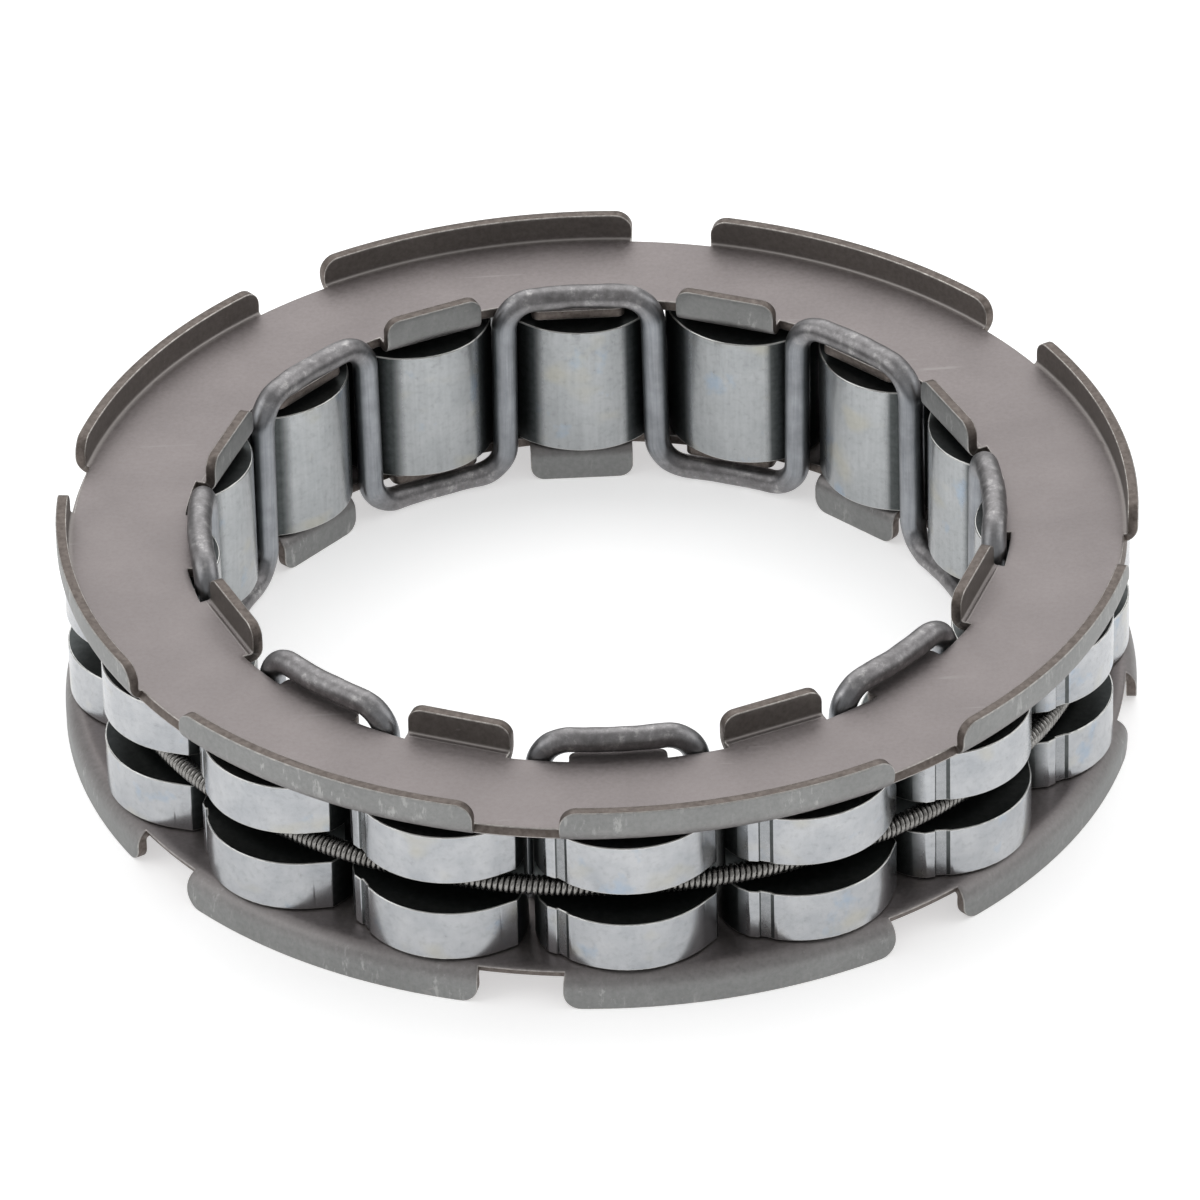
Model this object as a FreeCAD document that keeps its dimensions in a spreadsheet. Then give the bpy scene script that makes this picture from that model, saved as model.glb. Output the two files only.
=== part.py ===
import FreeCAD, Part
import math
import os

import Sketcher
from FreeCAD import Placement, Rotation, Vector

# One-way sprag clutch bearing. Origin at the centre of the ring, +Z along the shaft.
# Two pressed side plates are held together by one meandering wire. Sixteen slotted sprags
# stand between the wire's legs and a garter spring runs through their slots.
# Azimuths are counted counter-clockwise from +X, seen from +Z.

SIZES = {
    # whole ring
    "tab_outer_radius": 37.2,
    "half_width": 8.0,
    # side plates
    "sheet_thickness": 0.75,
    "plate_face_height": 6.05,
    "plate_outer_radius": 36.4,
    "plate_inner_radius": 28.45,
    "outer_bend_radius": 1.35,
    "outer_gap_width": 5.8,
    "gap_overrun": 1.0,
    "outer_corner_radius": 1.2,
    "inner_tab_radius": 27.5,
    "inner_bend_radius": 1.0,
    "inner_tab_width": 7.3,
    "inner_corner_radius": 1.0,
    "tongue_radius": 27.15,
    "tongue_width": 6.6,
    "tongue_corner_radius": 0.6,
    "root_overlap": 0.6,
    # retainer wire
    "wire_diameter": 1.8,
    "wire_path_radius": 27.35,
    "wire_crest_height": 7.06,
    "wire_corner_radius": 2.2,
    # garter spring
    "spring_ring_radius": 34.2,
    "spring_coil_radius": 0.7,
    # sprags
    "sprag_length": 10.0,
    "sprag_drop": 0.2,
    "pivot_radius": 31.4,
    "outer_cam_radius": 6.5,
    "outer_cam_side": -0.35,
    "outer_cam_rise": -1.1,
    "inner_cam_radius": 5.3,
    "inner_cam_side": 0.35,
    "inner_cam_rise": -0.1,
    "heel_side": -6.15,
    "heel_rise": 2.15,
    "heel_top_side": -5.35,
    "heel_flank_radius": 6.8,
    "toe_side": 5.65,
    "toe_rise": 2.05,
    "toe_flank_radius": 5.6,
    "toe_top_side": 5.2,
    "toe_top_rise": 2.85,
    "groove_near_side": 3.85,
    "groove_far_side": 4.65,
    "groove_far_rise": 3.2,
    "groove_near_depth": 0.32,
    "groove_far_depth": 0.16,
    "groove_wall": 0.2,
    "slot_height": 2.44,
    "slot_floor_rise": 0.8,
}
LOOP_COUNT = 8
SPRAG_COUNT = 16
SECTOR = 360 / LOOP_COUNT
SPRAG_STEP = 360 / SPRAG_COUNT
GAP_AZIMUTH = SECTOR * 3 / 4
INNER_TAB_AZIMUTH = -SECTOR / 4
TONGUE_AZIMUTH = SECTOR / 4
CLEAR_OF_SPRAG = 20.0
TOUCH = 1e-4

doc = FreeCAD.newDocument("sprag_clutch_bearing")
sheet = doc.addObject("Spreadsheet::Sheet", "sizes")
for row, (alias, value) in enumerate(SIZES.items(), start=1):
    sheet.set("A%d" % row, alias)
    sheet.set("B%d" % row, str(value))
    sheet.setAlias("B%d" % row, alias)
doc.recompute()


def size(formula):
    """Value of a formula written in the sheet's aliases."""
    return sheet.evalExpression(formula)


def bound(formula):
    """The same formula as an expression that refers to the sheet."""
    words = sorted(SIZES, key=len, reverse=True)
    marked = formula
    for number, word in enumerate(words):
        marked = marked.replace(word, "{%d}" % number)
    return marked.format(*["sizes." + word for word in words])


def new_body(label):
    body = doc.addObject("PartDesign::Body", label)
    body.Label = label
    return body


def origin_feature(body, role):
    return next(item for item in body.Origin.OriginFeatures if item.Role == role)


def new_sketch(body, name, plane_role):
    sketch = body.newObject("Sketcher::SketchObject", name)
    sketch.AttachmentSupport = (origin_feature(body, plane_role), "")
    sketch.MapMode = "FlatFace"
    return sketch


def drive(sketch, kind, references, formula):
    """Adds one dimension to a sketch and binds it to the sheet."""
    index = sketch.addConstraint(Sketcher.Constraint(kind, *references, size(formula)))
    sketch.setExpression("Constraints[%d]" % index, bound(formula))


def fix_point(sketch, edge, end, across, up):
    """Places one end of an edge by its two coordinates; a coordinate left as None stays free."""
    if across is not None:
        drive(sketch, "DistanceX", (-1, 1, edge, end), across)
    if up is not None:
        drive(sketch, "DistanceY", (-1, 1, edge, end), up)


def join(sketch, first, second):
    """Joins the end of one edge to the start of the next."""
    sketch.addConstraint(Sketcher.Constraint("Coincident", *first, *second))


def join_around(sketch, edges, backward):
    """Closes an outline; the edges in backward were drawn from their end to their start."""
    ends = [(2, 1) if number in backward else (1, 2) for number in range(len(edges))]
    for number, edge in enumerate(edges):
        following = (number + 1) % len(edges)
        join(sketch, (edge, ends[number][1]), (edges[following], ends[following][0]))


def add_line(sketch, start, end):
    points = [Vector(size(across), size(up), 0) for across, up in (start, end)]
    return sketch.addGeometry(Part.LineSegment(*points))


def add_arc(sketch, centre, radius, start, end):
    """Arc drawn counter-clockwise between two angles in degrees."""
    low, high = sorted((start, end))
    middle = Vector(size(centre[0]), size(centre[1]), 0)
    circle = Part.Circle(middle, Vector(0, 0, 1), size(radius))
    return sketch.addGeometry(Part.ArcOfCircle(circle, math.radians(low), math.radians(high)))


def closed_outline(sketch, corners):
    """Straight outline through corners given as pairs of formulas."""
    edges = [add_line(sketch, start, end) for start, end in zip(corners, corners[1:] + corners[:1])]
    join_around(sketch, edges, ())
    for edge, corner in zip(edges, corners):
        fix_point(sketch, edge, 1, *corner)


def edge_names(shape, test):
    return ["Edge%d" % number for number, edge in enumerate(shape.Edges, start=1) if test(edge)]


def round_edges(body, kind, name, base, names, size_property, formula):
    feature = body.newObject(kind, name)
    feature.Base = (base, names)
    feature.setExpression(size_property, bound(formula))
    body.Tip = feature
    doc.recompute()
    return feature


# Side plate: a dished ring with notched grip tabs, flat bent inner tabs and flat tongues


def tab_corner(shape, height, low_side, high_side):
    """Names of the short edges across the sheet at the inner tabs' top corners."""

    def across_sheet(edge):
        points = [vertex.Point for vertex in edge.Vertexes]
        level = all(abs(point.z - height) < TOUCH for point in points)
        radii = sorted(math.hypot(point.x, point.y) for point in points)
        return level and abs(radii[0] - low_side) < TOUCH and abs(radii[-1] - high_side) < TOUCH

    return edge_names(shape, across_sheet)


def tongue_corner(shape, reach):
    """Names of the upright edges at the tongues' tips."""

    def upright_at_tip(edge):
        points = [vertex.Point for vertex in edge.Vertexes]
        radii = [math.hypot(point.x, point.y) for point in points]
        upright = abs(points[0].z - points[-1].z) > TOUCH
        return upright and all(abs(radius - reach) < TOUCH for radius in radii)

    return edge_names(shape, upright_at_tip)


def bent_sheet(sketch, root, low, top, lip, bend):
    """Section of a sheet that runs out from its root and turns up at the lip."""
    toward = 1 if size(lip) > size(root) else -1
    sign = "-" if toward > 0 else "+"
    inside = "%s %s sheet_thickness" % (lip, sign)
    bend_side = "%s %s %s" % (lip, sign, bend)
    bend_height = "%s + %s" % (low, bend)
    crease = "%s - sheet_thickness" % bend
    edges = [
        add_line(sketch, (root, low), (bend_side, low)),
        add_arc(sketch, (bend_side, bend_height), bend, -90, 0 if toward > 0 else -180),
        add_line(sketch, (lip, bend_height), (lip, "half_width")),
        add_line(sketch, (lip, "half_width"), (inside, "half_width")),
        add_line(sketch, (inside, "half_width"), (inside, bend_height)),
        add_arc(sketch, (bend_side, bend_height), crease, 0 if toward > 0 else -180, -90),
        add_line(sketch, (bend_side, top), (root, top)),
        add_line(sketch, (root, top), (root, low)),
    ]
    join_around(sketch, edges, (5,) if toward > 0 else (1,))
    fix_point(sketch, edges[0], 1, root, low)
    fix_point(sketch, edges[0], 2, bend_side, low)
    fix_point(sketch, edges[2], 1, lip, bend_height)
    fix_point(sketch, edges[3], 1, lip, "half_width")
    fix_point(sketch, edges[4], 1, inside, "half_width")
    fix_point(sketch, edges[4], 2, inside, bend_height)
    fix_point(sketch, edges[6], 1, bend_side, top)
    fix_point(sketch, edges[7], 1, root, top)
    drive(sketch, "Radius", (edges[1],), bend)
    drive(sketch, "Radius", (edges[5],), crease)


def gap_outline(sketch, low):
    """Gap between two grip tabs, seen along the radius, flared by the tabs' round corners."""
    half, corner = "outer_gap_width / 2", "outer_corner_radius"
    shoulder = "half_width - outer_corner_radius"
    flare = "%s + %s" % (half, corner)
    below, above = "%s - gap_overrun" % low, "half_width + gap_overrun"
    edges = [
        add_line(sketch, (half, below), (half, shoulder)),
        add_arc(sketch, (flare, shoulder), corner, 90, 180),
        add_line(sketch, (flare, "half_width"), (flare, above)),
        add_line(sketch, (flare, above), ("-(%s)" % flare, above)),
        add_line(sketch, ("-(%s)" % flare, above), ("-(%s)" % flare, "half_width")),
        add_arc(sketch, ("-(%s)" % flare, shoulder), corner, 0, 90),
        add_line(sketch, ("-(%s)" % half, shoulder), ("-(%s)" % half, below)),
        add_line(sketch, ("-(%s)" % half, below), (half, below)),
    ]
    join_around(sketch, edges, (1, 5))
    fix_point(sketch, edges[0], 1, half, below)
    fix_point(sketch, edges[0], 2, half, shoulder)
    fix_point(sketch, edges[2], 1, flare, "half_width")
    fix_point(sketch, edges[3], 1, flare, above)
    fix_point(sketch, edges[4], 1, "-(%s)" % flare, above)
    fix_point(sketch, edges[4], 2, "-(%s)" % flare, "half_width")
    fix_point(sketch, edges[6], 1, "-(%s)" % half, shoulder)
    fix_point(sketch, edges[7], 1, "-(%s)" % half, below)
    drive(sketch, "Radius", (edges[1],), corner)
    drive(sketch, "Radius", (edges[5],), corner)


def around_ring(body, name, originals):
    pattern = body.newObject("PartDesign::PolarPattern", name)
    pattern.Originals = originals
    pattern.Axis = (origin_feature(body, "Z_Axis"), [""])
    pattern.Angle = 360
    pattern.Occurrences = LOOP_COUNT
    body.Tip = pattern
    doc.recompute()
    return pattern


def side_plate(label):
    """Built as the upper plate, with a gap between grip tabs at azimuth 0."""
    body = new_body(label)
    low, top = "(plate_face_height - sheet_thickness)", "plate_face_height"
    dish_sketch = new_sketch(body, "dish_section", "XZ_Plane")
    bent_sheet(dish_sketch, "plate_inner_radius", low, top, "tab_outer_radius", "outer_bend_radius")
    dish = body.newObject("PartDesign::Revolution", "dish")
    dish.Profile = dish_sketch
    dish.ReferenceAxis = (dish_sketch, ["V_Axis"])
    dish.Angle = 360
    doc.recompute()

    gap_sketch = new_sketch(body, "gap_outline", "YZ_Plane")
    gap_sketch.setExpression("AttachmentOffset.Base.z", bound("plate_outer_radius"))
    gap_outline(gap_sketch, low)
    gap = body.newObject("PartDesign::Pocket", "gap")
    gap.Profile = gap_sketch
    gap.Reversed = True
    gap.setExpression("Length", bound("tab_outer_radius - plate_outer_radius + root_overlap"))
    doc.recompute()
    around_ring(body, "gaps_around", [gap])

    root = "plate_inner_radius + root_overlap"
    tab_sketch = new_sketch(body, "inner_tab_section", "XZ_Plane")
    tab_sketch.AttachmentOffset = Placement(Vector(), Rotation(Vector(0, 1, 0), INNER_TAB_AZIMUTH))
    lip = "(inner_tab_radius - sheet_thickness)"
    bent_sheet(tab_sketch, root, low, top, lip, "inner_bend_radius")
    tab = body.newObject("PartDesign::Pad", "inner_tab")
    tab.Profile = tab_sketch
    tab.Midplane = True
    tab.setExpression("Length", bound("inner_tab_width"))

    tongue_sketch = new_sketch(body, "tongue_outline", "XY_Plane")
    tongue_sketch.AttachmentOffset = Placement(Vector(), Rotation(Vector(0, 0, 1), TONGUE_AZIMUTH))
    tongue_sketch.setExpression("AttachmentOffset.Base.z", bound(low))
    side = "tongue_width / 2"
    tip = "tongue_radius"
    closed_outline(tongue_sketch, [(tip, "-" + side), (root, "-" + side), (root, side), (tip, side)])
    tongue = body.newObject("PartDesign::Pad", "tongue")
    tongue.Profile = tongue_sketch
    tongue.setExpression("Length", bound("sheet_thickness"))
    doc.recompute()
    inner_edge = around_ring(body, "inner_edge_around", [tab, tongue])

    half_tab = size("inner_tab_width / 2")
    reaches = [math.hypot(size(side), half_tab) for side in (lip, "inner_tab_radius")]
    names = tab_corner(inner_edge.Shape, size("half_width"), *reaches)
    rounded = round_edges(body, "PartDesign::Fillet", "inner_tab_corners", inner_edge, names,
                          "Radius", "inner_corner_radius")
    tip_reach = math.hypot(size("tongue_radius"), size("tongue_width / 2"))
    names = tongue_corner(rounded.Shape, tip_reach)
    round_edges(body, "PartDesign::Fillet", "tongue_corners", rounded, names,
                "Radius", "tongue_corner_radius")
    return body


def plate_turn(flip):
    """Places a plate's first gap; the lower plate is the same pressing turned over."""
    turned_over = Rotation(Vector(1, 0, 0), flip)
    return Placement(Vector(), Rotation(Vector(0, 0, 1), GAP_AZIMUTH).multiply(turned_over))


upper_plate = side_plate("upper_side_plate")
upper_plate.Placement = plate_turn(0)
lower_plate = side_plate("lower_side_plate")
lower_plate.Placement = plate_turn(180)


# Retainer wire: upright legs between the sprags, joined over and under the plates' tongues


def ring_point(radius, azimuth, height):
    turn = math.radians(azimuth)
    return Vector(radius * math.cos(turn), radius * math.sin(turn), height)


def wire_route():
    """Closed centre line of crests that follow the ring, round corners and upright legs."""
    radius = size("wire_path_radius")
    crest = size("wire_crest_height")
    corner = size("wire_corner_radius")
    corner_turn = math.degrees(math.atan(corner / radius))
    crest_half = SPRAG_STEP / 2 - corner_turn
    edges = []
    for number in range(SPRAG_COUNT):
        side = 1 if number % 2 == 0 else -1
        middle = number * SPRAG_STEP
        start = ring_point(radius, middle - crest_half, side * crest)
        end = ring_point(radius, middle + crest_half, side * crest)
        edges.append(Part.Arc(start, ring_point(radius, middle, side * crest), end).toShape())
        along = Vector(-end.y, end.x, 0).normalize()
        centre = end - Vector(0, 0, side * corner)
        reach = corner / math.sqrt(2)
        bend = centre + along * reach + Vector(0, 0, side * reach)
        leg_top = centre + along * corner
        edges.append(Part.Arc(end, bend, leg_top).toShape())
        leg_foot = Vector(leg_top.x, leg_top.y, -leg_top.z)
        edges.append(Part.LineSegment(leg_top, leg_foot).toShape())
        following = ring_point(radius, middle + SPRAG_STEP - crest_half, -side * crest)
        backward = Vector(following.y, -following.x, 0).normalize()
        centre = following + Vector(0, 0, side * corner)
        bend = centre + backward * reach - Vector(0, 0, side * reach)
        edges.append(Part.Arc(leg_foot, bend, following).toShape())
    return Part.Wire(edges)


route = doc.addObject("Part::Feature", "wire_route")
route.Shape = wire_route()
section = doc.addObject("Part::Circle", "wire_section")
section.setExpression("Radius", bound("wire_diameter / 2"))
section.Placement = Placement(ring_point(size("wire_path_radius"), 0, size("wire_crest_height")),
                              Rotation(Vector(1, 0, 0), 90))
wire = doc.addObject("Part::Sweep", "retainer_wire")
wire.Label = "retainer_wire"
wire.Sections = [section]
wire.Spine = (route, [])
wire.Solid = True
wire.Frenet = False

# Garter spring: the envelope of its closed coils

spring = doc.addObject("Part::Torus", "garter_spring")
spring.Label = "garter_spring"
spring.setExpression("Radius1", bound("spring_ring_radius"))
spring.setExpression("Radius2", bound("spring_coil_radius"))

# Sprags: local X is the clockwise tangent, local Y is outwards, the origin is the tilt axis


def flank_circle(corner, radius, inner_circle, side):
    """Circle through a flank's top corner that the inner cam's circle touches from inside."""
    reach = radius - inner_circle.Radius
    across = corner - inner_circle.Center
    span = across.Length
    along = (reach * reach - radius * radius + span * span) / (2 * span)
    rise = math.sqrt(reach * reach - along * along)
    across.normalize()
    upward = Vector(-across.y, across.x, 0) * side
    middle = inner_circle.Center + across * along + upward * rise
    return Part.Circle(middle, Vector(0, 0, 1), radius)


def turn_toward(start, end):
    """Direction from one point to another, as an angle from 0 to a full turn."""
    return math.atan2(end.y - start.y, end.x - start.x) % (2 * math.pi)


def sprag_outline(body):
    """Two offset cam arcs joined by flanks, with a shallow groove beside the toe."""
    sketch = new_sketch(body, "cam_section", "XY_Plane")
    sketch.setExpression("AttachmentOffset.Base.z", bound("-sprag_drop"))
    outer_centre = Vector(size("outer_cam_side"), size("outer_cam_rise"), 0)
    inner_centre = Vector(size("inner_cam_side"), size("inner_cam_rise"), 0)
    outer_radius = size("outer_cam_radius")
    inner_radius = size("inner_cam_radius")
    outer_circle = Part.Circle(outer_centre, Vector(0, 0, 1), outer_radius)
    inner_circle = Part.Circle(inner_centre, Vector(0, 0, 1), inner_radius)
    near_side = size("groove_near_side")
    heel_top_side = size("heel_top_side")
    near_turn = math.acos((near_side - outer_centre.x) / outer_radius)
    heel_turn = math.acos((heel_top_side - outer_centre.x) / outer_radius)
    outer_arc = sketch.addGeometry(Part.ArcOfCircle(outer_circle, near_turn, heel_turn))
    near_rise = outer_centre.y + outer_radius * math.sin(near_turn)
    heel_top_rise = outer_centre.y + outer_radius * math.sin(heel_turn)

    heel = Vector(size("heel_side"), size("heel_rise"), 0)
    toe = Vector(size("toe_side"), size("toe_rise"), 0)
    heel_circle = flank_circle(heel, size("heel_flank_radius"), inner_circle, -1)
    toe_circle = flank_circle(toe, size("toe_flank_radius"), inner_circle, 1)
    heel_foot = turn_toward(heel_circle.Center, inner_centre)
    toe_foot = turn_toward(toe_circle.Center, inner_centre)
    heel_round = sketch.addGeometry(Part.LineSegment(Vector(heel_top_side, heel_top_rise, 0), heel))
    heel_start = turn_toward(heel_circle.Center, heel)
    heel_flank = sketch.addGeometry(Part.ArcOfCircle(heel_circle, heel_start, heel_foot))
    inner_arc = sketch.addGeometry(Part.ArcOfCircle(inner_circle, heel_foot, toe_foot))
    toe_end = turn_toward(toe_circle.Center, toe)
    toe_flank = sketch.addGeometry(Part.ArcOfCircle(toe_circle, toe_foot, toe_end))
    toe_top = Vector(size("toe_top_side"), size("toe_top_rise"), 0)
    toe_round = sketch.addGeometry(Part.LineSegment(toe, toe_top))
    far = Vector(size("groove_far_side"), size("groove_far_rise"), 0)
    facet = sketch.addGeometry(Part.LineSegment(toe_top, far))
    near = Vector(near_side, near_rise, 0)
    wall = size("groove_wall")
    far_foot = far - Vector(wall, size("groove_far_depth"), 0)
    near_foot = near + Vector(wall, -size("groove_near_depth"), 0)
    far_wall = sketch.addGeometry(Part.LineSegment(far, far_foot))
    floor = sketch.addGeometry(Part.LineSegment(far_foot, near_foot))
    near_wall = sketch.addGeometry(Part.LineSegment(near_foot, near))

    chain = [outer_arc, heel_round, heel_flank, inner_arc, toe_flank]
    chain += [toe_round, facet, far_wall, floor, near_wall]
    for edge, following in zip(chain, chain[1:] + chain[:1]):
        if inner_arc in (edge, following):
            sketch.addConstraint(Sketcher.Constraint("Tangent", edge, 2, following, 1))
        else:
            join(sketch, (edge, 2), (following, 1))
    fix_point(sketch, outer_arc, 3, "outer_cam_side", "outer_cam_rise")
    drive(sketch, "Radius", (outer_arc,), "outer_cam_radius")
    fix_point(sketch, outer_arc, 1, "groove_near_side", None)
    fix_point(sketch, outer_arc, 2, "heel_top_side", None)
    fix_point(sketch, inner_arc, 3, "inner_cam_side", "inner_cam_rise")
    drive(sketch, "Radius", (inner_arc,), "inner_cam_radius")
    fix_point(sketch, heel_flank, 1, "heel_side", "heel_rise")
    drive(sketch, "Radius", (heel_flank,), "heel_flank_radius")
    fix_point(sketch, toe_flank, 2, "toe_side", "toe_rise")
    drive(sketch, "Radius", (toe_flank,), "toe_flank_radius")
    fix_point(sketch, toe_round, 2, "toe_top_side", "toe_top_rise")
    fix_point(sketch, facet, 2, "groove_far_side", "groove_far_rise")
    foot_rise = "groove_far_rise - groove_far_depth"
    fix_point(sketch, far_wall, 2, "groove_far_side - groove_wall", foot_rise)
    drive(sketch, "DistanceX", (near_wall, 2, near_wall, 1), "groove_wall")
    drive(sketch, "DistanceY", (near_wall, 1, near_wall, 2), "groove_near_depth")
    return sketch


def sprag(label, azimuth):
    body = new_body(label)
    pad = body.newObject("PartDesign::Pad", "cam")
    pad.Profile = sprag_outline(body)
    pad.Midplane = True
    pad.setExpression("Length", bound("sprag_length"))
    doc.recompute()
    slot_sketch = new_sketch(body, "slot_outline", "YZ_Plane")
    slot_low = "-sprag_drop - slot_height / 2"
    slot_high = "-sprag_drop + slot_height / 2"
    beyond = "%g" % CLEAR_OF_SPRAG
    closed_outline(slot_sketch, [("slot_floor_rise", slot_low), (beyond, slot_low),
                                 (beyond, slot_high), ("slot_floor_rise", slot_high)])
    slot = body.newObject("PartDesign::Pocket", "spring_slot")
    slot.Profile = slot_sketch
    slot.Type = "ThroughAll"
    slot.Midplane = True
    body.Tip = slot
    doc.recompute()
    body.Placement = Placement(ring_point(size("pivot_radius"), azimuth, 0),
                               Rotation(Vector(0, 0, 1), azimuth - 90))
    return body


sprags = [sprag("sprag_%02d" % (number + 1), number * SPRAG_STEP) for number in range(SPRAG_COUNT)]

# Check every object, then write one file for each piece

doc.recompute()
for item in doc.Objects:
    if "Invalid" in item.State or "Error" in item.State:
        raise RuntimeError("%s failed to compute" % item.Label)
os.makedirs("parts", exist_ok=True)
for piece in [upper_plate, lower_plate, wire, spring] + sprags:
    if piece.Shape.isNull() or not piece.Shape.isValid():
        raise RuntimeError("%s has no valid shape" % piece.Label)
    piece.Shape.exportStep("parts/%s.step" % piece.Label)
    print(piece.Label, "solids", len(piece.Shape.Solids), "volume %.2f mm3" % piece.Shape.Volume)
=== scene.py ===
import math

import bmesh
import bpy
import mathutils
from mathutils import Matrix, Vector
from mathutils.geometry import delaunay_2d_cdt


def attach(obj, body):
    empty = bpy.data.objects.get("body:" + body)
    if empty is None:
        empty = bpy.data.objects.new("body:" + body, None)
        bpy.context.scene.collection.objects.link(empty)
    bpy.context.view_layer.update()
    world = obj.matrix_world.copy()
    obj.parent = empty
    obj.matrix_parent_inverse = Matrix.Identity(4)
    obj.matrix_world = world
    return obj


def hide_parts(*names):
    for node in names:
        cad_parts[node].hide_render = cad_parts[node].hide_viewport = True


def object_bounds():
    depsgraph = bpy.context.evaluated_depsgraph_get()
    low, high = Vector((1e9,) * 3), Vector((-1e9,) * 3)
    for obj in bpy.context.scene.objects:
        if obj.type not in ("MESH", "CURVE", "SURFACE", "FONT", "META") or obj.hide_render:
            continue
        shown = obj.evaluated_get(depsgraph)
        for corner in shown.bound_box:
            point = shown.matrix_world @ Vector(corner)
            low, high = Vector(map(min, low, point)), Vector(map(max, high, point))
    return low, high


# Looks for the one-way sprag clutch bearing. Lengths are in millimetres and are turned into
# metres where a mesh or an object is made. Sizes that are not explained are those of the CAD.
MM = 0.001

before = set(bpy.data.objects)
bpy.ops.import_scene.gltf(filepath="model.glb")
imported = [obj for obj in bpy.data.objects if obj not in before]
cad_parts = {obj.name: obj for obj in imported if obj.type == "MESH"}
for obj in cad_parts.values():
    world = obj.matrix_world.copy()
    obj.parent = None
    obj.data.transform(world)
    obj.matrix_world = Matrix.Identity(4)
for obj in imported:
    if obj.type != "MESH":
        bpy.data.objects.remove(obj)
bpy.context.view_layer.update()
cad_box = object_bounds()

# Sprags. Their frame has X clockwise along the ring, Y outwards and its origin on the pivot
SPRAG_COUNT = 16
SPRAG_STEP = 360 / SPRAG_COUNT
PIVOT_RADIUS = 31.4
SPRAG_LENGTH = 10.0
SPRAG_DROP = 0.2
# Cams as centre and radius
OUTER_CAM = (-0.35, -1.1, 6.5)
INNER_CAM = (0.35, -0.1, 5.3)
HEEL = (-6.15, 2.15)
HEEL_TOP_SIDE = -5.35
HEEL_FLANK_RADIUS = 6.8
HEEL_ROUND = 0.3
TOE = (5.65, 2.05)
TOE_TOP = (5.2, 2.85)
TOE_FLANK_RADIUS = 5.6
TOE_ROUND = 0.25
# Groove between the outer cam and the toe's facet
GROOVE_NEAR_SIDE = 3.85
GROOVE_FAR = (4.65, 3.2)
GROOVE_WALL = 0.14
GROOVE_NEAR_DEPTH = 0.24
GROOVE_FAR_DEPTH = 0.08
GROOVE_BRINK_ROUND = 0.12
GROOVE_FOOT_ROUND = 0.06
SLOT_HEIGHT = 2.44
SLOT_FLOOR = 0.8
RIM_ROUND = 0.1
RIM_STEPS = 3
# The rounding of the slot's edges fades out over this height above the slot's floor
FLOOR_FADE = 0.4
# Band along the inner cam that is ground bright, with painted shade beyond it: its middle, half
# width and the soft edge into the shade
BAND_SIDE = 0.2
BAND_HALF = 3.06
BAND_SHADE_FADE = 0.7
# How bright each face of the section is, from 0, black as painted shade between the sprags, to 1,
# ground bright
BRIGHT = 1.0
FLOOR_GRADE = 0.75
TOE_GRADE = 0.15
WALL_GRADE = 0.05
BLACK = 0.0
# Points on the long arcs of the section
OUTER_CAM_STEPS = 72
INNER_CAM_STEPS = 36
HEEL_LOW_STEPS = 30
TOE_LOW_STEPS = 36
FLANK_HIGH_STEPS = 6
# Shifts on the UV map: one sprag from the next, the flat ends and the slot's walls
MAP_SPRAG_SHIFT = 60.0
MAP_END_SHIFT = 30.0
MAP_SLOT_SHIFT = 45.0

# Side plates, as one sector of a flat pattern that is bent up at both edges
SECTORS = 8
SECTOR_TURN = 2 * math.pi / SECTORS
PLATE_TURN = math.radians(33.75)
SHEET = 0.75
PLATE_LOW = 5.3
LIP_BEND = 1.35
LIP_BEND_LINE = 35.85
LIP_TOP = 8.0
GAP_HALF = 2.9
GAP_CORNER = 1.2
BORE = 28.45
TAB_TURN = math.radians(-11.25)
TAB_BEND = 1.0
TAB_BEND_LINE = 27.75
TAB_HALF = 3.65
TAB_CORNER = 1.0
TONGUE_HALF = 3.3
TONGUE_TIP = 27.15
TONGUE_CORNER = 0.6
EDGE_ROUND = 0.07
# Spacing of the pattern's points, along the ring and across a finger, and the room that the
# rows and the points inside leave to the outline
COLUMN = math.radians(0.75)
FINGER_COLUMN = 0.45
ROW_ROOM = 0.05
TIP_ROOM = 0.2
ROOT_ROOM = 0.1
# Room at a finger's sides that still bends with it
FINGER_ROOM = 0.5
# A gap between two grip tabs starts part of the way round the bend
GAP_REACH = LIP_BEND_LINE + LIP_BEND * math.radians(28)
GAP_ROOM = 0.15
LIP_REACH = LIP_BEND_LINE + LIP_BEND * math.pi / 2 + LIP_TOP - PLATE_LOW - LIP_BEND
TAB_TIP = TAB_BEND_LINE - TAB_BEND * math.pi / 2 - (LIP_TOP - PLATE_LOW - TAB_BEND)
# Fine raised line at the root of an inner tab
CREASE_LINE = 27.86
CREASE_HALF = 0.1
CREASE_RISE = 0.035
# Radius of the sheet's upper face in the corner of a bend, and the share of the bend that gets a
# painted highlight
CREASE_RADIUS = 0.2
CORNER_SHARE = 0.12
# Radii of the pattern's rows of points
LIP_BEND_STEPS = 14
TAB_BEND_STEPS = 6
FLAT_ROWS = [28.9, 29.6, 31.0, 32.6, 34.2, 35.4, 35.7]
LIP_ROWS = [LIP_BEND_LINE + LIP_BEND * math.pi / 2 * k / LIP_BEND_STEPS
            for k in range(LIP_BEND_STEPS + 1)] + [38.3, 38.7, 39.0, LIP_REACH]
TAB_ROWS = [27.96, 27.91, 27.86, 27.81]
TAB_ROWS += [TAB_BEND_LINE - TAB_BEND * math.pi / 2 * k / TAB_BEND_STEPS
             for k in range(TAB_BEND_STEPS + 1)]
TAB_ROWS += [25.8, 25.3, 24.9]
TONGUE_ROWS = (28.0, 27.6)
# Grades of a sheared edge: its middle, the brink above it and the brink below it
SHEARED, UPPER_BRINK, LOWER_BRINK = 1.0, 0.5, 0.25
MERGE_DISTANCE = 1e-4
MERGE_IN_PATTERN = 1e-7

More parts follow.
